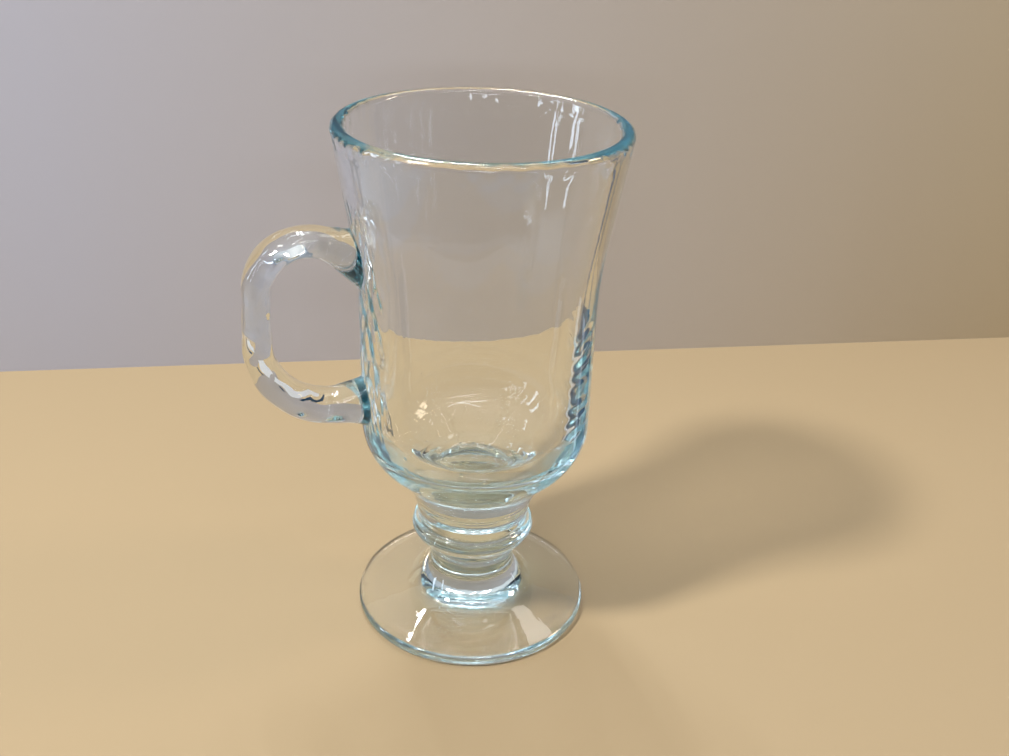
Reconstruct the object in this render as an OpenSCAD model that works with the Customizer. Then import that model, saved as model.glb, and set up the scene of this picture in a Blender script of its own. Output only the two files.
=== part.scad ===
// Footed glass mug for hot coffee: a flared bowl on a knopped stem and round foot, with a
// solid glass handle fused to the bowl's left side. Millimetres, +Z up. The origin is on
// the mug's axis, in the plane that the foot rests on. The handle points along -X.

/* [Bowl] */
// Height of the rim above the table
height = 148.5; // [145:0.5:156]
// Outer radius at the rim
rim_r = 38.8; // [36:0.2:41]
// Thickness of the fire-polished lip
lip = 3.8; // [3:0.1:4.4]
// Thickness of the bowl's wall at the waist
wall = 3; // [2.6:0.1:3.6]
// Thickness that the bowl's wall has grown to where the floor's slope would meet it
wall_low = 5.2; // [4.4:0.1:5.8]
// Outer radius of the bowl's straight side
belly_r = 32.4; // [30:0.2:34]
// Height of the flared part, from the waist up to the rim
flare_high = 39.5; // [36:0.5:44]
// How far the gentle bend at the waist runs, above it and below it
waist_reach = 10.5; // [6:0.5:14]
// Height at which the bowl's rounded shoulder would meet its straight side
belly_z = 56; // [54:0.5:59]
// Outer radius of the bend between shoulder and side
belly_bend = 18; // [12:0.5:20]
// Inner height of the bowl's floor, on the axis
floor_z = 47.5; // [45:0.5:49]
// Radius of the floor's dished middle, out to where its slope would begin
dish_r = 9; // [7:0.5:11]
// Radius of the bend between the dished middle and the slope
dish_bend = 10; // [8:0.5:14]
// Height at which the floor's slope would meet the inner wall
slope_top_z = 57.5; // [56.5:0.5:60]
// Radius of the bend between the slope and the inner wall
slope_bend = 17; // [12:0.5:19]

/* [Root of the bowl] */
// Outer radius where the bowl stands on the knop
root_r = 16.3; // [15.5:0.1:17]
// Radius at which the root would meet the shoulder
root_top_r = 17.4; // [16.8:0.1:18]
// Height at which the root would meet the shoulder
root_top_z = 41.5; // [40.5:0.5:42.5]
// Radius of the hollow sweep from the root to the shoulder
root_sweep = 24; // [14:1:26]

/* [Knop, stem and foot] */
// Outer radius of the knop
knop_r = 18; // [17.4:0.1:19]
// Radius of the knop's rounded edge
knop_edge = 3.1; // [2.6:0.1:3.4]
// Height of the knop's widest line
knop_z = 27.4; // [26.5:0.1:28.5]
// Radius of the stem at its neck
neck_r = 12; // [10:0.2:13.5]
// Height of the seam between the stem and the knop
neck_seam_z = 21; // [20:0.1:22]
// Radius of the fillet under the knop
neck_fillet = 2; // [1:0.1:2.2]
// Outer radius of the foot
foot_r = 34.6; // [32:0.2:38]
// Thickness of the foot at its rim
foot_edge = 3; // [2.6:0.1:4]
// Radius at which the stem would meet the top of the foot
flare_r = 13; // [12:0.2:14]
// Height at which the stem would meet the top of the foot
flare_z = 7.6; // [6.6:0.2:8.6]
// Radius of the hollow sweep from the stem to the foot
flare_bend = 11; // [7:0.5:12]
// Height of the seam between the foot and the stem
foot_seam_z = 9.5; // [9:0.1:10.5]
// Inner radius of the flat ring that the foot rests on
rest_r = 30; // [26:0.5:31]
// Height of the hollow under the foot
kick_h = 1.8; // [1:0.1:2.5]

/* [Handle] */
// Where the handle's middle line leaves the wall, as a share of the way up the bowl's side
upper_share = 0.65; // [0.62:0.001:0.66]
// Where the handle's middle line comes back to the wall, as such a share
lower_share = 0.183; // [0.165:0.001:0.21]
// Reach of the handle's middle line from the axis, at the top of the grip
reach_top = 58; // [54:0.2:62]
// Reach of the handle's middle line from the axis, at the bottom of the grip
reach_low = 61; // [56:0.2:64]
// Where the upper corner that the grip's bend rounds off lies, as such a share
corner_top_share = 0.753; // [0.72:0.001:0.78]
// Where the lower corner that the grip's bend rounds off lies, as such a share
corner_low_share = 0.155; // [0.14:0.001:0.18]
// Share of the grip, from corner to corner, that the upper bend takes
bend_top_share = 0.322; // [0.26:0.001:0.36]
// Share of the grip, from corner to corner, that the lower bend takes
bend_low_share = 0.421; // [0.36:0.001:0.44]
// Thickness of the upper arm, measured in the plane of the handle
upper_thick = 7.9; // [6.8:0.1:9]
// Thickness of the grip, measured in the plane of the handle
grip_thick = 7.6; // [6.6:0.1:8.6]
// Thickness of the lower arm, measured in the plane of the handle
lower_thick = 9.3; // [7.6:0.1:10]
// Width of the handle, measured across its plane
handle_wide = 12.4; // [10:0.2:14]
// Height of the upper end where it is fused to the wall
upper_seat_high = 16.4; // [14:0.2:20]
// Width of the upper end where it is fused to the wall
upper_seat_wide = 15; // [13:0.2:19]
// Height of the lower end where it is fused to the wall
lower_seat_high = 14; // [12:0.2:16]
// Width of the lower end where it is fused to the wall
lower_seat_wide = 14; // [12:0.2:18]
// Length over which each end swells towards the wall
swell = 10; // [7:0.5:12]
// Distance from the wall to the seam between each end and the grip
weld_len = 6; // [5:0.2:8]

/* [Hidden] */
glass = [0.78, 0.87, 0.87, 0.55];
// Rounding of the foot's rim, below and above
foot_round_low = 1.2;
foot_round_top = 1.5;
// Rise of the bowl's floor from the axis to the edge of its dished middle
dish_rise = 0.3;
// Facets round each turned member in the preview
turned_sides = 96;
// How far the handle's ends reach into the wall before the wall is cut out of them
sink = 5;
// Shares of the middle line's length at which the two arms and the grip have their thickness
thick_shares = [0.25, 0.5, 0.78];
// Bulge of the handle's section: 2 is an ellipse, and more is squarer
section_power = 2.1;
// Share of the middle line's length over which its direction is taken
nudge_share = 0.005;
// Shares of the lip's thickness that its outer and its inner rounding take
lip_shares = [0.56, 0.41];
// Angle of one step along an arc
arc_step = 4;
// Sides of the handle's section, and rings along its grip and along each end
ring_sides = 32;
grip_rings = 56;
weld_rings = 12;

// Radius and height of the middle of the knop's rounded edge
knop_mid = [knop_r - knop_edge, knop_z];
// Angle on that edge at which the bowl's root stands
seat_angle = acos((root_r - knop_mid.x) / knop_edge);
// Height of the seam between the knop and the bowl
seat_z = knop_z + knop_edge * sin(seat_angle);

// Points on an arc about a middle, from one angle to another
function arc(mid, r, from, to) =
    let (n = max(2, ceil(abs(to - from) / arc_step)))
    [for (i = [0:n]) let (a = from + (to - from) * i / n) mid + r * [cos(a), sin(a)]];

function unit(v) = v / norm(v);

// The corner b between a and c, rounded to radius r
function round_corner(a, b, c, r) =
    let (
        u = unit(a - b),
        v = unit(c - b),
        half = acos(u * v) / 2,
        mid = b + unit(u + v) * r / sin(half),
        p = b + u * r / tan(half) - mid,
        q = b + v * r / tan(half) - mid,
        from = atan2(p.y, p.x),
        turn = atan2(p.x * q.y - p.y * q.x, p * q)
    )
    arc(mid, r, from, from + turn);

// The radius of a bend at the corner b between a and c that reaches that far along both sides
function bend_radius(a, b, c, reach) = reach * tan(acos(unit(a - b) * unit(c - b)) / 2);

function flat_point(p) = [p.x, p.y];

// An outline of corners [x, y] or [x, y, radius], with each radius worked in
function rounded(corners) = [
    for (i = [0:len(corners) - 1])
        let (b = corners[i], inner = i > 0 && i < len(corners) - 1)
        if (inner && len(b) > 2)
            each round_corner(flat_point(corners[i - 1]), flat_point(b),
                              flat_point(corners[i + 1]), b[2])
        else
            flat_point(b)
];

// The corners of the bowl's side, on its outside and its inside
waist_z = height - flare_high;
rim_out = [rim_r, height];
rim_in = [rim_r - lip, height];
side_out = [[belly_r, belly_z], [belly_r, waist_z], rim_out];
side_in = [[belly_r - wall_low, slope_top_z], [belly_r - wall, waist_z], rim_in];
function waist(side) = [each side[1], bend_radius(side[0], side[1], side[2], waist_reach)];

// The outside of all turned members as one line, from the foot's underside up to the rim
outside = rounded(concat(
    [
        [rest_r, 0],
        [foot_r, 0, foot_round_low],
        [foot_r, foot_edge, foot_round_top],
        [flare_r, flare_z, flare_bend],
        [neck_r, knop_z - knop_edge, neck_fillet]
    ],
    arc(knop_mid, knop_edge, -90, seat_angle),
    [
        [root_top_r, root_top_z, root_sweep],
        [each side_out[0], belly_bend],
        waist(side_out),
        rim_out
    ]
));

// Radius of that line at a height above the foot's underside
outside_r = [for (p = outside) if (p.y > 0) [p.y, p.x]];
function radius_at(z) = lookup(z, outside_r);

// The stretch of that line between two heights, with its ends worked in
function outside_between(low, high) = concat(
    low > 0 ? [[radius_at(low), low]] : [],
    [for (p = outside) if (p.y < high && (p.y > low || low == 0)) p],
    [[radius_at(high), high]]
);

// The bowl's lip and inside as one line, from the waist to the middle of the floor
over_lip = rounded([
    side_out[1],
    [each rim_out, bend_radius(side_out[1], rim_out, rim_in, lip * lip_shares[0])],
    [each rim_in, bend_radius(rim_out, rim_in, side_in[1], lip * lip_shares[1])],
    waist(side_in),
    [each side_in[0], slope_bend],
    [dish_r, floor_z + dish_rise, dish_bend],
    [0, floor_z]
]);

// The hollow under the foot, from its middle out to the ring that the foot rests on
kick_ball = (rest_r * rest_r + kick_h * kick_h) / (2 * kick_h);
kick_angle = asin(rest_r / kick_ball);
kick = arc([0, kick_h - kick_ball], kick_ball, 90, 90 - kick_angle);

// A line of [radius, height] points turned about the mug's axis
module turned(line) {
    rotate_extrude($fn = turned_sides)
        polygon(line);
}

// A member with no hollow in it, between two of the turned form's heights
module solid_between(low, high) {
    turned(concat([[0, low]], outside_between(low, high), [[0, high]]));
}

module bowl() {
    color(glass)
        turned(concat(
            [[0, seat_z]],
            outside_between(seat_z, over_lip[1].y),
            [for (i = [2:len(over_lip) - 1]) over_lip[i]]
        ));
}

module knop() {
    color(glass)
        solid_between(neck_seam_z, seat_z);
}

module stem() {
    color(glass)
        solid_between(foot_seam_z, neck_seam_z);
}

module foot() {
    color(glass)
        turned(concat(kick, outside_between(0, foot_seam_z), [[0, foot_seam_z]]));
}

// The point that lies a distance past b on the line from a to b
function beyond(a, b, distance) = b + unit(b - a) * distance;

// Height at a share of the way up the bowl's side, from its shoulder to the rim
function up_side(share) = belly_z + (height - belly_z) * share;

// Where the handle's middle line meets the wall, above and below, as [radius, height]
upper_wall = [radius_at(up_side(upper_share)), up_side(upper_share)];
lower_wall = [radius_at(up_side(lower_share)), up_side(lower_share)];
corner_top = [reach_top, up_side(corner_top_share)];
corner_low = [reach_low, up_side(corner_low_share)];
grip_len = norm(corner_top - corner_low);
bend_top = bend_radius(upper_wall, corner_top, corner_low, grip_len * bend_top_share);
bend_low = bend_radius(corner_top, corner_low, lower_wall, grip_len * bend_low_share);

// Middle line of the handle in its own plane, from inside the upper wall to inside the lower
handle_path = rounded([
    beyond(corner_top, upper_wall, sink),
    [each corner_top, bend_top],
    [each corner_low, bend_low],
    beyond(corner_low, lower_wall, sink)
]);

// Distance along the middle line at each of its points
function travelled(path, i) = i == 0 ? 0 : travelled(path, i - 1) + norm(path[i] - path[i - 1]);
path_last = len(handle_path) - 1;
path_dist = [for (i = [0:path_last]) travelled(handle_path, i)];
path_len = path_dist[path_last];
path_r = [for (i = [0:path_last]) [path_dist[i], handle_path[i].x]];
path_z = [for (i = [0:path_last]) [path_dist[i], handle_path[i].y]];

// Place and direction of the middle line at a distance along it
function path_at(s) = [lookup(s, path_r), lookup(s, path_z)];
function path_way(s) =
    let (nudge = path_len * nudge_share)
    unit(path_at(s + nudge) - path_at(s - nudge));

// How much of the swell towards an end is left at a distance from the wall: 1 at the wall
function swelling(distance) = pow(1 - min(1, max(0, distance / swell)), 2);

// Thickness of the arms and the grip at a distance along the middle line
function thick_at(s) = lookup(s / path_len, [
    [thick_shares[0], upper_thick],
    [thick_shares[1], grip_thick],
    [thick_shares[2], lower_thick]
]);

// A size of the section at a distance along the middle line, from its sizes at both ends
function section_size(s, plain, upper_seat, lower_seat) =
    plain + (upper_seat - plain) * swelling(s - sink)
          + (lower_seat - plain) * swelling(path_len - sink - s);

// A share from -1 to 1 that makes a cosine or sine bulge more squarely
function squarer(share) = sign(share) * pow(abs(share), 2 / section_power);

// The ring of points round the middle line at a distance along it
function section_ring(s) =
    let (
        middle = path_at(s),
        way = path_way(s),
        across = [way.y, -way.x],
        half_thick = section_size(s, thick_at(s), upper_seat_high, lower_seat_high) / 2,
        half_wide = section_size(s, handle_wide, upper_seat_wide, lower_seat_wide) / 2
    )
    [
        for (k = [0:ring_sides - 1])
            let (
                a = 360 * k / ring_sides,
                p = middle + across * half_thick * squarer(cos(a))
            )
            [-p.x, half_wide * squarer(sin(a)), p.y]
    ];

// The handle's solid between two distances along its middle line
module handle_between(from, to, rings) {
    points = [for (i = [0:rings]) each section_ring(from + (to - from) * i / rings)];
    sides = [
        for (i = [0:rings - 1], k = [0:ring_sides - 1])
            let (
                a = i * ring_sides + k,
                b = i * ring_sides + (k + 1) % ring_sides
            )
            each [[a, b, b + ring_sides], [a, b + ring_sides, a + ring_sides]]
    ];
    first = [for (k = [ring_sides - 1:-1:0]) k];
    last = [for (k = [0:ring_sides - 1]) rings * ring_sides + k];
    polyhedron(points, concat(sides, [first, last]));
}

module handle() {
    color(glass)
        handle_between(sink + weld_len, path_len - sink - weld_len, grip_rings);
}

module upper_handle_weld() {
    color(glass)
        difference() {
            handle_between(0, sink + weld_len, weld_rings);
            solid_between(seat_z, height);
        }
}

module lower_handle_weld() {
    color(glass)
        difference() {
            handle_between(path_len - sink - weld_len, path_len, weld_rings);
            solid_between(seat_z, height);
        }
}

bowl();
knop();
stem();
foot();
handle();
upper_handle_weld();
lower_handle_weld();
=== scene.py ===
"""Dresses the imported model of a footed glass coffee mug.

Lengths in this file are millimetres until MM turns them to metres. +Z is up, the origin is
on the mug's axis in the plane that the foot rests on, and the handle points along -X.
"""

import math

import bpy
import numpy as np
from mathutils import Matrix


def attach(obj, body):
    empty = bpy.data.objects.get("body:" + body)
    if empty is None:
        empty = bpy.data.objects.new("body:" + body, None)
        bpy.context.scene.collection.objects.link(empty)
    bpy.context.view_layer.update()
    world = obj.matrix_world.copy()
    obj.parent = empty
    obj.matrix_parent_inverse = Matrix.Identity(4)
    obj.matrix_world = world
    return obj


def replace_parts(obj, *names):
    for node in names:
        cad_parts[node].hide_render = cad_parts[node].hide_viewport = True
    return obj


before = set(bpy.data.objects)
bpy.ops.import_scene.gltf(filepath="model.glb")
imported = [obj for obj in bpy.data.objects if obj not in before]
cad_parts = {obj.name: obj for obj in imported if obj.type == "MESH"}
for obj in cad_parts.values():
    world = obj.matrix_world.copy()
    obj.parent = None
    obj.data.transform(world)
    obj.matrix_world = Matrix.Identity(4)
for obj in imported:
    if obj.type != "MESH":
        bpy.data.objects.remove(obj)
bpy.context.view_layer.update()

MM = 0.001
ROOT = "root"

# Driving sizes of the glass, as in the part's source
HEIGHT, RIM_R, LIP, WALL, WALL_LOW = 148.5, 38.79, 3.8, 3.0, 5.2
BELLY_R, FLARE_HIGH, WAIST_REACH, BELLY_Z, BELLY_BEND = 32.4, 39.5, 10.5, 56.0, 18.0
FLOOR_Z, DISH_R, DISH_RISE, DISH_BEND, SLOPE_TOP_Z, SLOPE_BEND = 47.5, 9.0, 0.3, 10.0, 57.5, 17.0
LIP_SHARES = (0.56, 0.41)
ROOT_R, ROOT_TOP_R, ROOT_TOP_Z, ROOT_SWEEP = 16.3, 17.4, 41.5, 24.0
KNOP_R, KNOP_EDGE, KNOP_Z = 18.0, 3.1, 27.4
NECK_R, NECK_SEAM_Z, NECK_FILLET = 12.0, 21.0, 2.0
FOOT_R, FOOT_EDGE, FOOT_ROUND_LOW, FOOT_ROUND_TOP = 34.6, 3.0, 1.2, 1.5
FLARE_R, FLARE_Z, FLARE_BEND, FOOT_SEAM_Z = 13.0, 7.6, 11.0, 9.5
REST_R, KICK_H = 30.0, 1.8
UPPER_SHARE, LOWER_SHARE, REACH_TOP, REACH_LOW = 0.65, 0.183, 58.0, 61.0
CORNER_TOP_SHARE, CORNER_LOW_SHARE, BEND_TOP_SHARE, BEND_LOW_SHARE = 0.753, 0.155, 0.322, 0.421
THICK_SHARES, THICKS = (0.25, 0.5, 0.78), (7.8, 7.5, 9.2)
HANDLE_WIDE, SECTION_POWER = 12.4, 2.1
SWELL, WELD_LEN, SINK = 10.0, 6.0, 5.0
SEAT_HIGH, SEAT_WIDE = (16.4, 14.0), (15.0, 14.0)

# Half of the gap between two members at their seam, so that no two faces lie in one place
SEAM_GAP = 0.006

# How finely the surfaces are divided: the spacing along an outline, the points round each
# member, and the rings along the grip, along a weld and over a seat
LINE_SPACING = 1.0
BOWL_SIDES, MEMBER_SIDES, HANDLE_SIDES = 288, 256, 64
GRIP_RINGS, WELD_RINGS, SEAT_RINGS = 161, 41, 13
# How far past an end the extra ring lies that its normals need, and how near an end an
# outline's own points are left out
END_STEP, END_CLEAR = 0.15, 0.05

# Seats of the handle on the bowl's wall: middle height, half height and half width
UPPER_SEAT = (114.0, 8.3, 7.4)
LOWER_SEAT = (72.4, 7.0, 6.9)


# Outlines, as arrays of [radius, height]


def arc(middle, radius, start, end, step=math.radians(3), chord=0.9):
    """Points middle + radius (cos a, sin a), with a in equal steps from start to end."""
    n = math.ceil(abs(end - start) / min(step, chord / radius)) + 1
    a = np.linspace(start, end, max(n, 3))
    return np.array(middle) + radius * np.column_stack([np.cos(a), np.sin(a)])


def round_corner(a, b, c, radius):
    """The arc that touches both sides of the corner b between a and c."""
    u = (a - b) / np.linalg.norm(a - b)
    v = (c - b) / np.linalg.norm(c - b)
    half = math.acos(np.clip(u @ v, -1, 1)) / 2
    middle = b + (u + v) / np.linalg.norm(u + v) * radius / math.sin(half)
    p, q = b + u * radius / math.tan(half) - middle, b + v * radius / math.tan(half) - middle
    start = math.atan2(p[1], p[0])
    return arc(middle, radius, start, start + math.atan2(p[0] * q[1] - p[1] * q[0], p @ q))


def rounded(corners):
    """A line through corners (x, y) or (x, y, radius), with each radius worked in."""
    at = [np.array(c[:2], float) for c in corners]
    parts = [
        round_corner(at[i - 1], at[i], at[i + 1], c[2]) if len(c) > 2 else at[i][None]
        for i, c in enumerate(corners)
    ]
    return np.vstack(parts)


def bend_radius(a, b, c, reach):
    """Radius of a bend at the corner b that reaches that far along both sides."""
    u, v = np.subtract(a, b), np.subtract(c, b)
    return reach * math.tan(math.acos(u @ v / np.linalg.norm(u) / np.linalg.norm(v)) / 2)


def along(line):
    """Distance along a line at each of its points."""
    return np.append(0, np.cumsum(np.linalg.norm(np.diff(line, axis=0), axis=1)))


def filled(line, spacing):
    """The same line with points put into stretches that are longer than the spacing."""
    d = along(line)
    keep = np.append(True, np.diff(d) > 1e-6)
    line, d = line[keep], d[keep]
    counts = np.maximum(np.ceil(np.diff(d) / spacing), 1).astype(int)
    runs = [np.linspace(d[i], d[i + 1], n, endpoint=False) for i, n in enumerate(counts)]
    t = np.concatenate([*runs, d[-1:]])
    return np.column_stack([np.interp(t, d, line[:, k]) for k in (0, 1)])


KNOP_MID = (KNOP_R - KNOP_EDGE, KNOP_Z)
SEAT_ANGLE = math.acos((ROOT_R - KNOP_MID[0]) / KNOP_EDGE)
SEAT_Z = KNOP_Z + KNOP_EDGE * math.sin(SEAT_ANGLE)
knop_arc = arc(KNOP_MID, KNOP_EDGE, -math.pi / 2, SEAT_ANGLE)

waist_z = HEIGHT - FLARE_HIGH
rim_out, rim_in = (RIM_R, HEIGHT), (RIM_R - LIP, HEIGHT)
side_out = [(BELLY_R, BELLY_Z), (BELLY_R, waist_z), rim_out]
side_in = [(BELLY_R - WALL_LOW, SLOPE_TOP_Z), (BELLY_R - WALL, waist_z), rim_in]


def waist(side):
    """The waist's corner with the radius of its bend."""
    return (*side[1], bend_radius(*side, WAIST_REACH))


outside = filled(
    rounded(
        [
            (REST_R, 0),
            (FOOT_R, 0, FOOT_ROUND_LOW),
            (FOOT_R, FOOT_EDGE, FOOT_ROUND_TOP),
            (FLARE_R, FLARE_Z, FLARE_BEND),
            (NECK_R, KNOP_Z - KNOP_EDGE, NECK_FILLET),
            *knop_arc.tolist(),
            (ROOT_TOP_R, ROOT_TOP_Z, ROOT_SWEEP),
            (*side_out[0], BELLY_BEND),
            waist(side_out),
            rim_out,
        ]
    ),
    LINE_SPACING,
)
over_lip = rounded(
    [
        side_out[1],
        (*rim_out, bend_radius(side_out[1], rim_out, rim_in, LIP * LIP_SHARES[0])),
        (*rim_in, bend_radius(rim_out, rim_in, side_in[1], LIP * LIP_SHARES[1])),
        waist(side_in),
        (*side_in[0], SLOPE_BEND),
        (DISH_R, FLOOR_Z + DISH_RISE, DISH_BEND),
        (0, FLOOR_Z),
    ]
)
inside = filled(over_lip[1:], LINE_SPACING)
KICK_BALL = (REST_R**2 + KICK_H**2) / (2 * KICK_H)
kick_end = math.pi / 2 - math.asin(REST_R / KICK_BALL)
kick = arc((0, KICK_H - KICK_BALL), KICK_BALL, math.pi / 2, kick_end)


def wall_radius(z):
    """Outer radius of the turned members at a height."""
    return np.interp(z, outside[:, 1], outside[:, 0])


def cut_line(line, low, high):
    """The stretch of a rising line between two heights, and the points just past its ends."""
    inner = line[(line[:, 1] > low + END_CLEAR) & (line[:, 1] < high - END_CLEAR)]
    ends = [low - END_STEP, low, high, high + END_STEP]
    end = np.column_stack([np.interp(ends, line[:, 1], line[:, 0]), ends])
    return np.vstack([end[:2], inner, end[2:]])


# Meshes


def normals_of(grid):
    """Unit normals of a grid of rings: the cross product of its two directions."""
    up = np.gradient(grid, axis=0)
    side = np.roll(grid, -1, axis=1) - np.roll(grid, 1, axis=1)
    n = np.cross(side, up)
    return n / np.maximum(np.linalg.norm(n, axis=2, keepdims=True), 1e-12)


def add_solid(name, skin, normals, first, last, material, seams, marks=None):
    """A closed solid from a grid of rings with its normals, closed at both ends.

    first and last are stacks of rings that carry on from the skin's ends to one middle
    point each. seams says for each end whether its cap is a seam to the next member, and
    marks gives the share of dimples in each row of faces of the skin.
    """
    rows, sides = skin.shape[:2]
    low, high = first[1:-1][::-1], last[1:-1]
    rings = np.concatenate([low, skin, high])
    flat = [np.zeros((len(extra), sides, 3)) for extra in (low, high)]
    for part, ring in zip(flat, (first, last)):
        part[:] = [0, 0, np.sign(ring[-1, 0, 2] - skin.mean((0, 1))[2])]
    ring_normals = np.concatenate([flat[0], normals, flat[1]])
    count = len(rings)
    points = np.vstack([first[-1:, 0], rings.reshape(-1, 3), last[-1:, 0]])
    vertex_normals = np.vstack(
        [normals[0].mean(0)[None], ring_normals.reshape(-1, 3), normals[-1].mean(0)[None]]
    )
    i, j = np.meshgrid(np.arange(count - 1), np.arange(sides), indexing="ij")
    k = (j + 1) % sides
    corners = [i * sides + j, i * sides + k, (i + 1) * sides + k, (i + 1) * sides + j]
    quads = 1 + np.stack(corners, 2)
    j, top = np.arange(sides), len(points) - 1
    k = (j + 1) % sides
    fan_low = np.column_stack([np.zeros(sides, int), 1 + k, 1 + j])
    base = 1 + (count - 1) * sides
    fan_high = np.column_stack([np.full(sides, top), base + j, base + k])
    faces = quads.reshape(-1, 4).tolist() + fan_low.tolist() + fan_high.tolist()
    mesh = bpy.data.meshes.new(name + "_glass")
    mesh.from_pydata((points * MM).tolist(), [], faces)
    seam = np.zeros(len(mesh.polygons), np.float32)
    row = np.repeat(np.arange(count - 1), sides)
    if seams[0]:
        seam[: len(row)][row < len(low)] = 1
        seam[len(row) : len(row) + sides] = 1
    if seams[1]:
        seam[: len(row)][row >= len(low) + rows - 1] = 1
        seam[len(row) + sides :] = 1
    mesh.attributes.new("seam", "FLOAT", "FACE").data.foreach_set("value", seam)
    if marks is not None:
        shares = np.zeros(len(mesh.polygons), np.float32)
        shares[len(low) * sides : (len(low) + rows - 1) * sides] = np.repeat(marks, sides)
        mesh.attributes.new("marks", "FLOAT", "FACE").data.foreach_set("value", shares)
    mesh.polygons.foreach_set("use_smooth", np.ones(len(mesh.polygons), bool))
    mesh.validate()
    lengths = np.maximum(np.linalg.norm(vertex_normals, axis=1, keepdims=True), 1e-9)
    mesh.normals_split_custom_set_from_vertices((vertex_normals / lengths).tolist())
    piece = bpy.data.objects.new(name + "_glass", mesh)
    bpy.context.scene.collection.objects.link(piece)
    piece.data.materials.append(material)
    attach(piece, ROOT)
    return piece


def even_angles(count):
    """Equal steps round the mug's axis."""
    return np.arange(count) / count * 2 * math.pi


def angles_near(count, middle, half_width, gain, samples=4001):
    """Angles round the axis, packed closer by gain round a middle angle."""
    a = np.linspace(0, 2 * math.pi, samples)
    off = (a - middle + math.pi) % (2 * math.pi) - math.pi
    density = 1 + (gain - 1) * np.exp(-((off / half_width) ** 2))
    total = np.append(0, np.cumsum((density[1:] + density[:-1]) / 2))
    return np.interp(np.arange(count) / count * total[-1], total, a)


def spun(line, angles):
    """The grid (r cos a, r sin a, z) of a line turned through the angles."""
    r, z = line[:, 0, None], line[:, 1, None]
    return np.stack([r * np.cos(angles), r * np.sin(angles), z + 0 * angles], 2)


def to_point(ring, middle=None):
    """A cap's two rings: its edge, and the ring that closes on a middle point."""
    return np.stack([ring, np.zeros_like(ring) + (ring.mean(0) if middle is None else middle)])


def soft_step(x, low, high):
    """0 below low, 1 above high, and 3u^2 - 2u^3 between them."""
    u = np.clip((x - low) / (high - low), 0, 1)
    return u * u * (3 - 2 * u)


# Faint turned rings on the root, the knop and the stem: their depth, how far apart they are,
# and the heights over which they come in above the foot and go out below the bowl
RING_DEEP, RING_STEP, RINGS_IN, RINGS_OUT = 0.12, 2.4, (15, 20), (41, 46)


def turned_rings(grid):
    """How far each point moves out: depth * sin(2 pi z / step + drift), with a slight drift."""
    angle, z = np.arctan2(grid[..., 1], grid[..., 0]), grid[..., 2]
    share = soft_step(z, *RINGS_IN) * (1 - soft_step(z, *RINGS_OUT))
    drift = 0.5 * np.sin(angle + 1.0) + 0.3 * np.sin(3 * angle)
    return RING_DEEP * share * np.sin(2 * math.pi * z / RING_STEP + drift)


def moved_out(grid, distance):
    """The grid with each point moved out from the axis by a distance."""
    away = grid * [1, 1, 0]
    length = np.maximum(np.linalg.norm(away, axis=2, keepdims=True), 1e-9)
    return grid + away / length * distance[..., None]


def turned_between(name, low, high, material):
    """A member with flat seams below and above, turned from the outside line."""
    low, high = low + SEAM_GAP, high - SEAM_GAP
    grid = spun(cut_line(outside, low, high), even_angles(MEMBER_SIDES))
    grid = moved_out(grid, turned_rings(grid))
    skin, normals = grid[1:-1], normals_of(grid)[1:-1]
    caps = [to_point(ring) for ring in (skin[0], skin[-1])]
    return add_solid(name, skin, normals, *caps, material, (True, True))


# Materials


def linear(code):
    """A colour written as sRGB hex, as the linear values that the shaders take."""
    c = np.array([int(code[i : i + 2], 16) for i in (0, 2, 4)]) / 255
    return [*np.where(c <= 0.04045, c / 12.92, ((c + 0.055) / 1.055) ** 2.4).tolist(), 1.0]


def node(tree, kind, values=None, **settings):
    """Adds a node, with its settings, and its inputs as values or as links from other sockets."""
    made = tree.nodes.new(kind)
    for key, value in settings.items():
        setattr(made, key, value)
    for key, value in (values or {}).items():
        if isinstance(value, bpy.types.NodeSocket):
            tree.links.new(value, made.inputs[key])
        else:
            made.inputs[key].default_value = value
    return made


def new_material(name):
    """An empty node material and its output node."""
    material = bpy.data.materials.new(name)
    material.use_nodes = True
    tree = material.node_tree
    tree.nodes.clear()
    return material, tree, tree.nodes.new("ShaderNodeOutputMaterial")


def maths(tree, operation, *values):
    """What a maths node makes of values or sockets."""
    return node(tree, "ShaderNodeMath", dict(enumerate(values)), operation=operation).outputs[0]


def bumps(tree, height, high, below=None, share=1.0):
    """A normal with bumps up to high mm tall, on top of the normal below."""
    values = {"Height": height, "Strength": share, "Distance": high * MM}
    if below is not None:
        values["Normal"] = below
    return node(tree, "ShaderNodeBump", values).outputs["Normal"]


def seat_mask(tree, seat):
    """1 inside a handle seat on the bowl's wall, 0 elsewhere.

    Inside is where |y / wide|^p + |(z - middle) / high|^p < 1, on the handle's side.
    """
    middle, high, wide = seat
    place = node(tree, "ShaderNodeTexCoord").outputs["Object"]
    axes = node(tree, "ShaderNodeSeparateXYZ", {0: place}).outputs
    terms = []
    for axis, centre, half in (("Y", 0, wide), ("Z", middle, high)):
        off = maths(tree, "SUBTRACT", axes[axis], centre * MM)
        size = maths(tree, "ABSOLUTE", maths(tree, "DIVIDE", off, half * MM))
        terms.append(maths(tree, "POWER", size, SECTION_POWER))
    near = maths(tree, "LESS_THAN", maths(tree, "ADD", *terms), 1.0)
    handle_side = maths(tree, "LESS_THAN", axes["X"], -(BELLY_R - WALL / 2) * MM)
    return maths(tree, "MULTIPLY", near, handle_side)


# Marks that the plunger leaves on the bowl's inside: how far apart the waves are and how high,
# then how far apart the dimples can be, how deep, and how wide as a share of their spacing
WAVE_STEP, WAVE_HIGH = 4.0, 0.06
DIMPLE_STEP, DIMPLE_DEEP, DIMPLE_WIDE = 2.8, 0.17, 0.28


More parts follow.
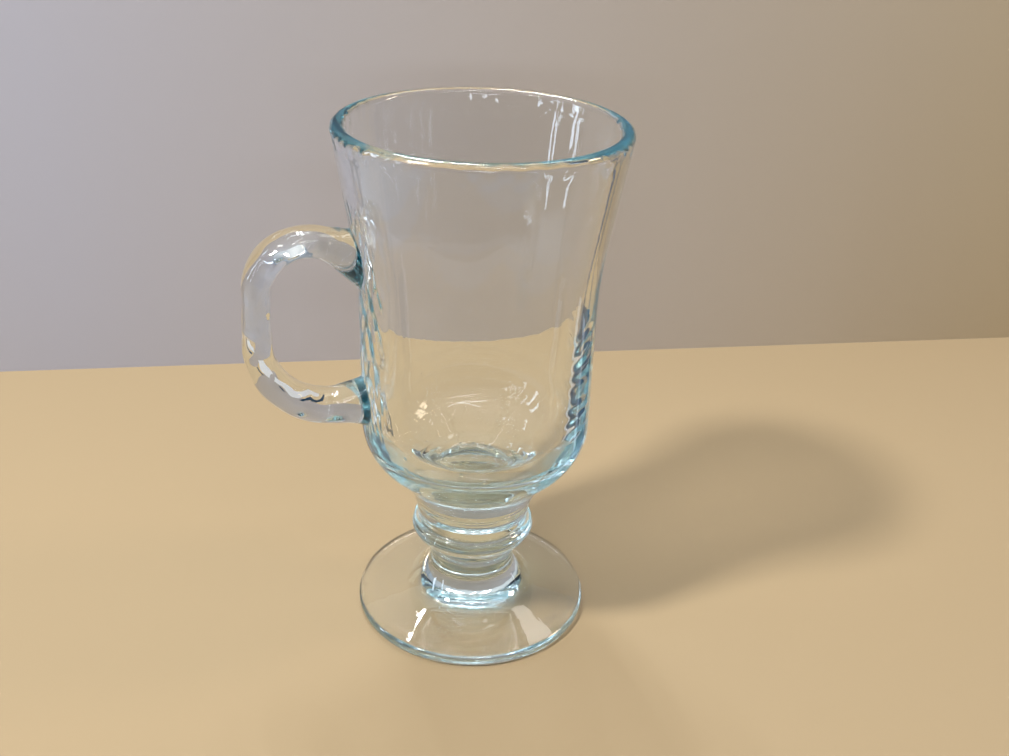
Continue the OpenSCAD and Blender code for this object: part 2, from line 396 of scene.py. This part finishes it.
def inner_marks(tree, place, below):
    """Waves and small dimples, as high and as many as the share in the marks attribute says."""
    share = node(tree, "ShaderNodeAttribute", attribute_name="marks").outputs["Fac"]
    swell = node(
        tree, "ShaderNodeTexNoise", {"Vector": place, "Scale": 1 / (WAVE_STEP * MM), "Detail": 1.0}
    )
    wave = bumps(tree, swell.outputs["Fac"], WAVE_HIGH, below, share)
    cells = node(tree, "ShaderNodeTexVoronoi", {"Vector": place, "Scale": 1 / (DIMPLE_STEP * MM)})
    dip = node(
        tree,
        "ShaderNodeMapRange",
        {"Value": cells.outputs["Distance"], "From Min": 0.0, "From Max": DIMPLE_WIDE},
        interpolation_type="SMOOTHSTEP",
    )
    chance = node(tree, "ShaderNodeSeparateColor", {"Color": cells.outputs["Color"]}).outputs["Red"]
    chosen = maths(tree, "LESS_THAN", chance, share)
    return bumps(tree, dip.outputs["Result"], DIMPLE_DEEP, wave, chosen)


# Faint orange peel that the mould leaves: how far apart its bumps are, and how high on the
# pressed members and on the bowl, which the flame has smoothed
PEEL_STEP, PEEL_HIGH, BOWL_PEEL_HIGH = 3.0, 0.03, 0.008
# Soda-lime glass bends light by this index, and is blue-green where light runs far through it
GLASS_IOR, TINT, TINT_DENSITY = 1.52, (0.08, 0.6, 0.68, 1.0), 6.5
# A lamp's light goes through by this share where it falls square on the glass. From the first
# slant on it goes through less, and past the second none does (0 is square on, 1 is edge on)
LIGHT_SHARE, FIRST_SLANT, LAST_SLANT = 0.42, 0.2, 0.7


def glass_material(name, peel_high, seats=()):
    """Clear soda-lime glass, mirror-smooth from the fire, blue-green in its depth.

    The see-through share is 1 on the seams, where the members are fused and no face shows.
    """
    material, tree, out = new_material(name)
    place = node(tree, "ShaderNodeTexCoord").outputs["Object"]
    peel = node(
        tree, "ShaderNodeTexNoise", {"Vector": place, "Scale": 1 / (PEEL_STEP * MM), "Detail": 2.0}
    )
    normal = bumps(tree, peel.outputs["Fac"], peel_high)
    if seats:
        normal = inner_marks(tree, place, normal)
    glass = node(
        tree,
        "ShaderNodeBsdfPrincipled",
        {
            "Base Color": (1, 1, 1, 1),
            "Roughness": 0.0,
            "IOR": GLASS_IOR,
            "Transmission Weight": 1.0,
            "Normal": normal,
        },
    )
    clear = node(tree, "ShaderNodeBsdfTransparent")
    seam = node(tree, "ShaderNodeAttribute", attribute_name="seam").outputs["Fac"]
    for seat in seats:
        seam = maths(tree, "MAXIMUM", seam, seat_mask(tree, seat))
    shadow = node(tree, "ShaderNodeLightPath").outputs["Is Shadow Ray"]
    slant = node(tree, "ShaderNodeLayerWeight", {"Blend": 0.5}).outputs["Facing"]
    limits = {"From Min": FIRST_SLANT, "From Max": LAST_SLANT, "To Min": LIGHT_SHARE, "To Max": 0.0}
    through = node(tree, "ShaderNodeMapRange", {"Value": slant, **limits}).outputs["Result"]
    share = maths(tree, "MAXIMUM", seam, maths(tree, "MULTIPLY", shadow, through))
    mix = node(tree, "ShaderNodeMixShader", {0: share, 1: glass.outputs[0], 2: clear.outputs[0]})
    tint = node(tree, "ShaderNodeVolumeAbsorption", {"Color": TINT, "Density": TINT_DENSITY})
    tree.links.new(mix.outputs[0], out.inputs["Surface"])
    tree.links.new(tint.outputs[0], out.inputs["Volume"])
    return material


# Handle


def squarer(share):
    """sign(c) |c|^(2/p): a cosine or sine that bulges as a superellipse of power p does."""
    return np.sign(share) * np.abs(share) ** (2 / SECTION_POWER)


def beyond(a, b, distance):
    """The point a distance past b on the line from a to b."""
    a, b = np.array(a, float), np.array(b, float)
    return b + (b - a) / np.linalg.norm(b - a) * distance


def up_side(share):
    """Height at a share of the way up the bowl's side."""
    return BELLY_Z + (HEIGHT - BELLY_Z) * share


def on_side(share):
    """The point [radius, height] on the bowl's side at a share of the way up."""
    return (float(wall_radius(up_side(share))), up_side(share))


upper_wall, lower_wall = on_side(UPPER_SHARE), on_side(LOWER_SHARE)
corner_top = (REACH_TOP, up_side(CORNER_TOP_SHARE))
corner_low = (REACH_LOW, up_side(CORNER_LOW_SHARE))
grip_len = math.dist(corner_top, corner_low)
handle_line = rounded(
    [
        tuple(beyond(corner_top, upper_wall, SINK)),
        (*corner_top, bend_radius(upper_wall, corner_top, corner_low, grip_len * BEND_TOP_SHARE)),
        (*corner_low, bend_radius(corner_top, corner_low, lower_wall, grip_len * BEND_LOW_SHARE)),
        tuple(beyond(corner_low, lower_wall, SINK)),
    ]
)
handle_dist = along(handle_line)
HANDLE_LEN = handle_dist[-1]
# How far to each side of a point the line's direction is taken over
WAY_REACH = 0.4


def handle_rings(s, sides):
    """Superellipse rings round the handle's middle line at the distances s.

    Their half-sizes are the plain ones plus (seat - plain) (1 - d / swell)^2 at d from each wall.
    """

    def at(t):
        """Points [reach, height] of the middle line."""
        return np.column_stack([np.interp(t, handle_dist, handle_line[:, k]) for k in (0, 1)])

    def swollen(plain, seat):
        """A size along the handle that grows from its plain value to its seats' values."""
        return plain + (seat[0] - plain) * left + (seat[1] - plain) * right

    middle, way = at(s), at(s + WAY_REACH) - at(s - WAY_REACH)
    way /= np.linalg.norm(way, axis=1, keepdims=True)
    left = (1 - np.clip((s - SINK) / SWELL, 0, 1)) ** 2
    right = (1 - np.clip((HANDLE_LEN - SINK - s) / SWELL, 0, 1)) ** 2
    half_thick = swollen(np.interp(s / HANDLE_LEN, THICK_SHARES, THICKS), SEAT_HIGH) / 2
    half_wide = swollen(HANDLE_WIDE, SEAT_WIDE) / 2
    a = -np.arange(sides) / sides * 2 * math.pi
    off = half_thick[:, None] * squarer(np.cos(a))
    return np.stack(
        [
            -(middle[:, :1] + way[:, 1:] * off),
            half_wide[:, None] * squarer(np.sin(a)),
            middle[:, 1:] - way[:, :1] * off,
        ],
        2,
    )


# Unevenness of the hand-laid grip: share of its radius, waves round it, mm along it, phase
HANDLE_WAVES = (
    (0.012, 0, 17, 0.4),
    (0.012, 2, 23, 2.1),
    (0.01, -3, 11, 4.0),
    (0.008, 4, -14, 1.0),
    (0.006, 5, 7.3, 5.2),
)
# The share by which the waves lie further in than out, and the rings over which they come in
WAVES_IN, WAVES_FADE = 0.012, 14


def make_handle(material):
    """The grip between its two welds."""
    start, end = SINK + WELD_LEN + SEAM_GAP, HANDLE_LEN - SINK - WELD_LEN - SEAM_GAP
    s = np.linspace(start, end, GRIP_RINGS)
    step = s[1] - s[0]
    grid = handle_rings(np.concatenate([[start - step], s, [end + step]]), HANDLE_SIDES)
    middle = grid.mean(1, keepdims=True)
    turn = np.arange(HANDLE_SIDES) / HANDLE_SIDES * 2 * math.pi
    far = np.linspace(0, end - start, len(grid))[:, None]
    uneven = sum(
        size * np.sin(k * turn + 2 * math.pi * far / length + phase)
        for size, k, length, phase in HANDLE_WAVES
    )
    ring = np.arange(len(grid))[:, None]
    fade = np.clip(np.minimum(ring, ring[::-1]) / WAVES_FADE, 0, 1)
    grid = middle + (grid - middle) * (1 + ((uneven - WAVES_IN) * fade)[..., None])
    skin, normals = grid[1:-1], normals_of(grid)[1:-1]
    caps = [to_point(end_ring) for end_ring in (skin[0], skin[-1])]
    return add_solid("handle", skin, normals, *caps, material, (True, True))


# How strongly a weld's lines leave the wall outward and inward, as shares of their length,
# and half the stretch of the grip over which their direction at its end is taken
WELD_OUT, WELD_IN, WELD_REACH = 0.25, 0.3, 0.2


def make_weld(name, end, seat, material):
    """A swollen end of the handle, lofted from its seat on the wall to the grip's section.

    Each line along it is the cubic with end points p0, p1 and end directions t0, t1:
    (2t^3-3t^2+1) p0 + (t^3-2t^2+t) t0 + (3t^2-2t^3) p1 + (t^3-t^2) t1.
    """
    middle, high, wide = seat
    s1 = SINK + WELD_LEN - SEAM_GAP if end == 0 else HANDLE_LEN - SINK - WELD_LEN + SEAM_GAP
    way = 1 if end == 0 else -1
    rings = handle_rings(np.array([s1 - WELD_REACH, s1, s1 + WELD_REACH]), HANDLE_SIDES)
    p1, t1 = rings[1], (rings[2] - rings[0]) / (2 * WELD_REACH) * way
    a = -np.arange(HANDLE_SIDES) / HANDLE_SIDES * 2 * math.pi
    sign = np.sign(rings[1][0, 2] - rings[1][HANDLE_SIDES // 2, 2])
    y, z = wide * squarer(np.sin(a)), sign * high * squarer(np.cos(a))

    def on_wall(share, gap):
        """The seat's outline, shrunk to a share, on the wall's outside."""
        yy, zz = y * share, middle + z * share
        return np.stack([-np.sqrt((wall_radius(zz) + gap) ** 2 - yy**2), yy, zz], -1)

    p0 = on_wall(1.0, 2 * SEAM_GAP)
    outward = np.stack([-np.ones_like(y), p0[:, 1] / BELLY_R, 0 * y], 1)
    inward = -np.stack([0 * y, y / wide, z / high], 1)
    inward /= np.linalg.norm(inward, axis=1, keepdims=True)
    reach = np.linalg.norm(p1 - p0, axis=1, keepdims=True)
    t0 = (outward * WELD_OUT + inward * WELD_IN) * reach
    t1 = t1 * reach
    t = np.linspace(0, 1, WELD_RINGS)[:, None, None]
    grid = (
        (2 * t**3 - 3 * t**2 + 1) * p0
        + (t**3 - 2 * t**2 + t) * t0
        + (3 * t**2 - 2 * t**3) * p1
        + (t**3 - t**2) * t1
    )
    caps = [on_wall(np.linspace(1, 0, SEAT_RINGS)[:, None], 2 * SEAM_GAP), to_point(p1)]
    if way < 0:
        grid, caps = grid[::-1], caps[::-1]
    return add_solid(name, grid, normals_of(grid), *caps, material, (True, True))


# Bowl


def waves(x, y, count, x_range, y_range, seed):
    """Smooth noise of about unit size: a sum of sines with lengths in a range along x and y."""
    rng = np.random.default_rng(seed)
    kx, ky = (
        2 * math.pi / rng.uniform(*lengths, count) * rng.choice([-1, 1], count)
        for lengths in (x_range, y_range)
    )
    phase = rng.uniform(0, 2 * math.pi, count)
    return np.sin(x[..., None] * kx + y[..., None] * ky + phase).sum(-1) / math.sqrt(count / 2)


# Unevenness of the bowl, as the height of its waves in mm, then what waves() takes: how many
# sines, their lengths round the wall and up it, and the seed, which at a seat is its height
SEAT_WRINKLES = 0.15, (24, (1.9, 4.2), (6, 16))
LEVEL_WAVES = 0.11, (20, (10, 34), (3.2, 7), 8)
GRIP_SIDE_WAVES = 0.09, (16, (4, 9), (7, 20), 3)
LIP_WAVES = 0.03, (14, (3, 9), (4, 12), 21)
# The upright ripples: height of each sine, how many there are, and the seed. They come in and
# go out over these heights, and only outside this radius, which keeps them off the floor
RIPPLE_HIGH, RIPPLE_COUNT, RIPPLE_SEED = 0.005, 14, 5
SIDE_IN, SIDE_OUT, SIDE_LEAST_R = (58, 72), (138, 146), 20
# The wrinkled patches reach past their seats by these factors, lie a little above them, and
# are pushed outward into the wall as a whole
PATCH_WIDE, PATCH_HIGH, PATCH_UP, PATCH_DEEP = 1.3, 1.45, 1.5, 0.1
# The level waves opposite the handle: angle from +X towards -Y, height, half-width and
# half-height of their patch
LEVEL_AT, LEVEL_Z, LEVEL_WIDE, LEVEL_HIGH = math.radians(27), 77, 12, 18
# The waves on the handle's side: half-width, and the heights over which they come and go
GRIP_SIDE_WIDE, GRIP_SIDE_IN, GRIP_SIDE_OUT = 11, (66, 78), (112, 124)
# The lip's waves: the heights over which they come in, and how far they are moved inward, as a
# share of their height, so that none stands past the rim
LIP_FADE, LIP_INWARD = (142, 145), 1.3


def upright_ripples(angle, z):
    """A sum of sines, 5 to 25 to a turn, each of which drifts round slightly as it rises."""
    rng = np.random.default_rng(RIPPLE_SEED)
    ripple = np.zeros_like(z)
    for cycles, phase, drift in zip(
        rng.integers(5, 26, RIPPLE_COUNT),
        rng.uniform(0, 6.28, RIPPLE_COUNT),
        rng.uniform(-0.02, 0.02, RIPPLE_COUNT),
    ):
        ripple += np.sin(cycles * angle + phase + drift * z * cycles / 30)
    return ripple


def bowl_waviness(grid, rows_inside):
    """How far each point of the bowl moves out along its radius.

    Pressed glass keeps faint upright ripples from the mould and the plunger. Where a hot
    handle was pressed on, the wall's inside chilled in upright wrinkles: noise times a bump
    exp(-(d / size)^4) round each seat. Between the seats the inside keeps longer, lower waves,
    and opposite the handle it keeps level ones in a patch of the same kind. The flame leaves
    small waves in the lip, which only go inward.
    """
    angle = np.arctan2(grid[..., 1], grid[..., 0]) % (2 * math.pi)
    z, r = grid[..., 2], np.hypot(grid[..., 0], grid[..., 1])
    side = soft_step(z, *SIDE_IN) * (1 - soft_step(z, *SIDE_OUT)) * (r > SIDE_LEAST_R)
    out = RIPPLE_HIGH * upright_ripples(angle, z) * side
    arc_length = (angle - math.pi) * BELLY_R
    high, sines = SEAT_WRINKLES
    for middle, seat_high, seat_wide in (UPPER_SEAT, LOWER_SEAT):
        off_x = arc_length / (seat_wide * PATCH_WIDE)
        off_z = (z - middle - PATCH_UP) / (seat_high * PATCH_HIGH)
        rough = waves(arc_length, z, *sines, int(middle))
        out += np.exp(-((off_x**2 + off_z**2) ** 2)) * (high * rough + PATCH_DEEP) * rows_inside
    high, sines = LEVEL_WAVES
    across = ((angle + LEVEL_AT + math.pi) % (2 * math.pi) - math.pi) * BELLY_R
    far = (across / LEVEL_WIDE) ** 4 + ((z - LEVEL_Z) / LEVEL_HIGH) ** 4
    out += high * np.exp(-far) * waves(across, z, *sines) * rows_inside
    high, sines = GRIP_SIDE_WAVES
    between = soft_step(z, *GRIP_SIDE_IN) * (1 - soft_step(z, *GRIP_SIDE_OUT))
    between *= np.exp(-((arc_length / GRIP_SIDE_WIDE) ** 4))
    out += high * between * waves(arc_length, z, *sines) * rows_inside
    high, sines = LIP_WAVES
    return out + high * soft_step(z, *LIP_FADE) * (waves(angle * RIM_R, z, *sines) - LIP_INWARD)


# Rings that the plunger leaves on the floor inside: radius, width and height
FLOOR_RINGS = ((11.5, 0.8, 0.2), (8, 0.7, 0.12))
# Share of dimples low inside the bowl, and the heights between which they fade out
MARKS_SHARE, MARKS_FADE = 0.9, (53, 68)
# The bowl's points lie closer together round the handle, by this factor within this angle
NEAR_HANDLE, HANDLE_ANGLE = 2.2, 0.5
# The rows at the start of the lip that don't count as the bowl's inside, and how far below the
# lip's first point the outside's own points end
LIP_ROWS, LIP_CLEAR = 12, 0.3


def make_bowl(material):
    """The bowl: its root's seam, the outside, the lip, the inside and the rounded floor."""
    angles = angles_near(BOWL_SIDES, math.pi, HANDLE_ANGLE, NEAR_HANDLE)
    low = SEAT_Z + SEAM_GAP
    wall = cut_line(outside, low, inside[0, 1])[:-2]
    line = np.vstack([wall[wall[:, 1] < inside[0, 1] - LIP_CLEAR], inside])
    grid = spun(line[:-1], angles)
    rows_inside = (np.arange(len(grid)) > len(line) - len(inside) + LIP_ROWS)[:, None] * 1.0
    rings = turned_rings(grid) * (1 - rows_inside)
    grid = moved_out(grid, bowl_waviness(grid, rows_inside) + rings)
    r = np.hypot(grid[..., 0], grid[..., 1])
    floor_rings = sum(
        high * np.exp(-(((r - radius) / wide) ** 2)) for radius, wide, high in FLOOR_RINGS
    )
    grid[..., 2] += rows_inside * floor_rings
    skin, normals = grid[1:], normals_of(grid)[1:]
    faded = MARKS_SHARE * (1 - soft_step(line[1:-2, 1], *MARKS_FADE))
    marks = np.where(rows_inside[1:-1, 0] > 0, faded, 0.0)
    caps = to_point(skin[0]), to_point(skin[-1], [0, 0, FLOOR_Z])
    return add_solid("bowl", skin, normals, *caps, material, (True, False), marks)


def make_foot(material):
    """The foot: the hollow underneath, the ring it rests on, its edge and its top."""
    high = FOOT_SEAM_Z - SEAM_GAP
    top = outside[outside[:, 1] < high - END_CLEAR]
    ends = [high, high + END_STEP]
    end = np.column_stack([np.interp(ends, outside[:, 1], outside[:, 0]), ends])
    grid = spun(np.vstack([kick[1:-1], top, end]), even_angles(MEMBER_SIDES))
    skin, normals = grid[:-1], normals_of(grid)[:-1]
    caps = to_point(skin[0], [0, 0, KICK_H]), to_point(skin[-1], [0, 0, high])
    return add_solid("foot", skin, normals, *caps, material, (False, True))


glass = glass_material("soda_lime_glass", PEEL_HIGH)
bowl_glass = glass_material("soda_lime_glass_bowl", BOWL_PEEL_HIGH, (UPPER_SEAT, LOWER_SEAT))
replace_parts(make_bowl(bowl_glass), "bowl")
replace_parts(turned_between("knop", NECK_SEAM_Z, SEAT_Z, glass), "knop")
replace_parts(turned_between("stem", FOOT_SEAM_Z, NECK_SEAM_Z, glass), "stem")
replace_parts(make_foot(glass), "foot")
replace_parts(make_handle(glass), "handle")
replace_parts(make_weld("upper_handle_weld", 0, UPPER_SEAT, glass), "upper_handle_weld")
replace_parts(make_weld("lower_handle_weld", 1, LOWER_SEAT, glass), "lower_handle_weld")


# Stage


def plain_sheet(name, corners, material):
    """A flat sheet that isn't part of the object."""
    mesh = bpy.data.meshes.new(name)
    mesh.from_pydata([tuple(c * MM for c in corner) for corner in corners], [], [(0, 1, 2, 3)])
    mesh.materials.append(material)
    sheet = bpy.data.objects.new(name, mesh)
    bpy.context.scene.collection.objects.link(sheet)
    return sheet


def card(name, colour):
    """Plain matt card."""
    material, tree, out = new_material(name)
    face = node(tree, "ShaderNodeBsdfDiffuse", {"Color": linear(colour)})
    tree.links.new(face.outputs[0], out.inputs["Surface"])
    return material


def painted_light_gradient_card(name, left, right, x):
    """Matt card whose colour goes from one tone to another between two values of x. The change of
    tone is painted light: it stands in for light of two colours falling on the card.
    """
    material, tree, out = new_material(name)
    place = node(tree, "ShaderNodeTexCoord").outputs["Object"]
    across = node(tree, "ShaderNodeSeparateXYZ", {0: place}).outputs["X"]
    limits = {"From Min": x[0] * MM, "From Max": x[1] * MM}
    share = node(tree, "ShaderNodeMapRange", {"Value": across, **limits}).outputs["Result"]
    tones = {"Factor": share, "A": linear(left), "B": linear(right)}
    tone = node(tree, "ShaderNodeMix", tones, data_type="RGBA").outputs["Result"]
    face = node(tree, "ShaderNodeBsdfDiffuse", {"Color": tone})
    tree.links.new(face.outputs[0], out.inputs["Surface"])
    return material


def see_through_behind(material):
    """Leaves the card unseen from behind, so that it doesn't hide the mug from there."""
    tree = material.node_tree
    out = next(n for n in tree.nodes if n.type == "OUTPUT_MATERIAL")
    face = out.inputs["Surface"].links[0].from_socket
    behind = node(tree, "ShaderNodeNewGeometry").outputs["Backfacing"]
    clear = node(tree, "ShaderNodeBsdfTransparent")
    mix = node(tree, "ShaderNodeMixShader", {0: behind, 1: face, 2: clear.outputs[0]})
    tree.links.new(mix.outputs[0], out.inputs["Surface"])


def level_sheet(name, x, y, z, material):
    """A flat sheet at a height, over a range of x and of y."""
    corners = [(x[0], y[0], z), (x[1], y[0], z), (x[1], y[1], z), (x[0], y[1], z)]
    return plain_sheet(name, corners, material)


def standing_sheet(name, start, end, high, material):
    """An upright sheet from the ground to a height, between two points (x, y)."""
    corners = [(*start, 0), (*end, 0), (*end, high), (*start, high)]
    return plain_sheet(name, corners, material)


# The sheet under the foot isn't pressed flat against the glass: a film of air stays between
# them. The table lies under the sheet
AIR_GAP, TABLE_DOWN, TABLE_HALF = 0.08, 0.6, 3000
sheet_card, table_card = card("pale_tan_card", "7f7058"), card("pale_table", "7d858f")
level_sheet("kraft_sheet", (-230, 360), (-240, 330), -AIR_GAP, sheet_card)
table_span = (-TABLE_HALF, TABLE_HALF)
level_sheet("table", table_span, table_span, -TABLE_DOWN, table_card)

# The backdrop: where it crosses the Y axis, its turn, its two ends along it and its height,
# then the stretch of x over which it goes from grey to tan. That change is painted light:
# bluish light on the left and warm light on the right, painted into the card.
BACK_AT, BACK_TURN, BACK_ENDS, BACK_HIGH = 165.4, math.radians(-9.1), (-480, 520), 164
PAINTED_LIGHT_SPAN = (-120, 330)
back_start, back_end = (
    (across * math.cos(BACK_TURN), BACK_AT + across * math.sin(BACK_TURN)) for across in BACK_ENDS
)
# Painted light: the grey left end stands in for bluish light, the tan right end for warm light
backdrop_card = painted_light_gradient_card("backdrop_painted_cool_warm_light", "939197", "9b8b6e", PAINTED_LIGHT_SPAN)
see_through_behind(backdrop_card)
backdrop = standing_sheet("backdrop", back_start, back_end, BACK_HIGH, backdrop_card)
backdrop.visible_shadow = False


def placed(turn, place):
    """The matrix of an object with the three axes in the columns of turn, at a place."""
    rows = [[*row, float(at) * MM] for row, at in zip(turn.tolist(), place)]
    return Matrix(rows + [[0, 0, 0, 1]])


def area_lamp(name, size, radiance, colour, turn, place):
    """A rectangular lamp that shines against the third axis of turn.

    A lamp of area A whose face shows a radiance L gives off pi A L watts.
    """
    data = bpy.data.lights.new(name, "AREA")
    data.shape, data.size, data.size_y = "RECTANGLE", size[0] * MM, size[1] * MM
    data.energy, data.color = math.pi * data.size * data.size_y * radiance, linear(colour)[:3]
    lamp = bpy.data.objects.new(name, data)
    bpy.context.scene.collection.objects.link(lamp)
    lamp.matrix_world = placed(turn, place)
    lamp.visible_camera = False


def softbox(name, azimuth, elevation, size, radiance, colour, distance=1200):
    """A lamp that faces the mug from a bearing, clockwise from +Y, and an elevation."""
    a, e = math.radians(azimuth), math.radians(elevation)
    z = np.array([math.sin(a) * math.cos(e), math.cos(a) * math.cos(e), math.sin(e)])
    x = np.array([-math.cos(a), math.sin(a), 0])
    turn = np.column_stack([x, np.cross(z, x), z])
    area_lamp(name, size, radiance, colour, turn, z * distance + [0, 0, HEIGHT / 2])


CEILING = 1300


def ceiling_lamp(name, x, y, size, radiance, colour):
    """A lamp at the ceiling that faces straight down."""
    area_lamp(name, size, radiance, colour, np.eye(3), (x, y, CEILING))


# Softboxes: bearing and elevation in degrees, size, radiance, colour and distance.
# Ceiling lamps: place x and y, size, radiance and colour
TUBE = "eef5ff"
softbox("key_lamp", -104, 50, (130, 130), 485, "fffaf2")
ceiling_lamp("tube_left", -120, 850, (38, 560), 150, TUBE)
ceiling_lamp("tube_middle", 10, 760, (22, 700), 170, TUBE)
ceiling_lamp("tube_right", 200, 800, (20, 500), 130, TUBE)
ceiling_lamp("panel_right", 560, 620, (380, 420), 4.6, "f1efea")
ceiling_lamp("tube_front", -60, -420, (700, 30), 15, TUBE)
softbox("warm_lamp", 100, 35, (160, 160), 34, "ffe6cc", 900)
ceiling_lamp("tube_front_far", 60, -760, (900, 30), 50, "f4f4ff")
softbox("low_front_lamp", -163, 14, (420, 40), 36, "e6f0ff", 900)

# Upright windows on the left, which the handle mirrors: bearing and width
WINDOW_UP, WINDOW_HIGH, WINDOW_RADIANCE, DAYLIGHT = 16, 700, 12, "d9eaff"
for bearing, wide in ((-112, 60), (-95, 40), (-74, 90)):
    size = (wide, WINDOW_HIGH)
    softbox("window_%d" % -bearing, bearing, WINDOW_UP, size, WINDOW_RADIANCE, DAYLIGHT)

# Upright cards that only the glass sees draw dark, blue and white lines in it: the large ones
# stand behind the camera, the narrow ones beside the mug. Ends (x, y), height and face
dark, blue = card("dark_card", "1a2634"), card("blue_card", "22405c")
white = card("white_card", "f2f7ff")
for name, start, end, high, face in (
    ("dark_card", (-350, -320), (350, -320), 190, dark),
    ("dark_wing_left", (-460, -130), (-350, -320), 190, dark),
    ("dark_wing_right", (350, -320), (480, 40), 190, dark),
    ("blue_side_right", (92, -1), (76, 22), 66, blue),
    ("white_strip_right", (96, -8), (92.5, -2), 66, white),
    ("blue_strip_right", (150, 30), (146, 38), 150, blue),
    ("blue_strip_left", (-42, 72), (-39, 73.5), 50, blue),
    ("white_strip_left", (-56, 66), (-45, 71), 55, white),
    ("blue_strip_far_left", (-124, 84), (-118, 90), 150, blue),
):
    standing = standing_sheet(name, start, end, high, face)
    standing.visible_camera = standing.visible_shadow = standing.visible_diffuse = False


# The room: the way in which it is brightest, its strength, and its tones by how far a way
# agrees with that one, from 0 at right angles to about 1
ROOM_WAY, ROOM_STRENGTH = (-0.12, 0.2, 0.97), 1.1
ROOM_TONES = ((0.02, "5e6165"), (0.2, "585d64"), (0.5, "7f8b99"), (1.0, "ffffff"))


def room_light():
    """A plain pale room: bright above, dimmer towards the horizon and behind the camera."""
    world = bpy.data.worlds.new("room")
    bpy.context.scene.world = world
    world.use_nodes = True
    tree = world.node_tree
    tree.nodes.clear()
    way = node(tree, "ShaderNodeTexCoord").outputs["Generated"]
    slant = node(tree, "ShaderNodeVectorMath", {0: way, 1: ROOM_WAY}, operation="DOT_PRODUCT")
    ramp = node(tree, "ShaderNodeValToRGB", {0: slant.outputs["Value"]})
    stops = ramp.color_ramp.elements
    for position, _ in ROOM_TONES[1:-1]:
        stops.new(position)
    for stop, (position, colour) in zip(stops, ROOM_TONES):
        stop.position, stop.color = position, linear(colour)
    back = node(
        tree, "ShaderNodeBackground", {"Color": ramp.outputs[0], "Strength": ROOM_STRENGTH}
    )
    node(tree, "ShaderNodeOutputWorld", {"Surface": back.outputs[0]})


room_light()

# Camera at the photograph's viewing angle, fitted to the rim, the foot and both sides. The
# picture is 1009 pixels wide, and the lens's focal length is given in the same pixels
IMAGE_WIDE = 1009
LENS_PIXELS, SENSOR, CLIP_START = 1088.0, 36.0, 0.01
CAMERA_AT = (-79.525, -260.115, 218.8)
HEADING, DOWN, ROLL = math.radians(18.6716), math.radians(27.739), math.radians(2.359)


def add_camera():
    """The camera: looks along its heading, down from the horizon, and rolls about its own axis."""
    level = np.array([math.sin(HEADING), math.cos(HEADING), 0])
    ahead = level * math.cos(DOWN) - np.array([0, 0, math.sin(DOWN)])
    side = np.array([math.cos(HEADING), -math.sin(HEADING), 0])
    up = np.cross(side, ahead)
    x = math.cos(ROLL) * side + math.sin(ROLL) * up
    y = math.cos(ROLL) * up - math.sin(ROLL) * side
    data = bpy.data.cameras.new("camera")
    data.sensor_fit, data.sensor_width = "HORIZONTAL", SENSOR
    data.lens = LENS_PIXELS * SENSOR / IMAGE_WIDE
    data.clip_start = CLIP_START
    camera = bpy.data.objects.new("camera", data)
    bpy.context.scene.collection.objects.link(camera)
    camera.matrix_world = placed(np.column_stack([x, y, -ahead]), CAMERA_AT)
    bpy.context.scene.camera = camera


add_camera()

scene = bpy.context.scene
scene.view_settings.view_transform = "Standard"
# Light runs round inside the lip and the welds, so it is followed through many bounces
BOUNCES, CLEAR_BOUNCES = 80, 48
cycles = scene.cycles
cycles.max_bounces = cycles.glossy_bounces = cycles.transmission_bounces = BOUNCES
cycles.transparent_max_bounces = CLEAR_BOUNCES
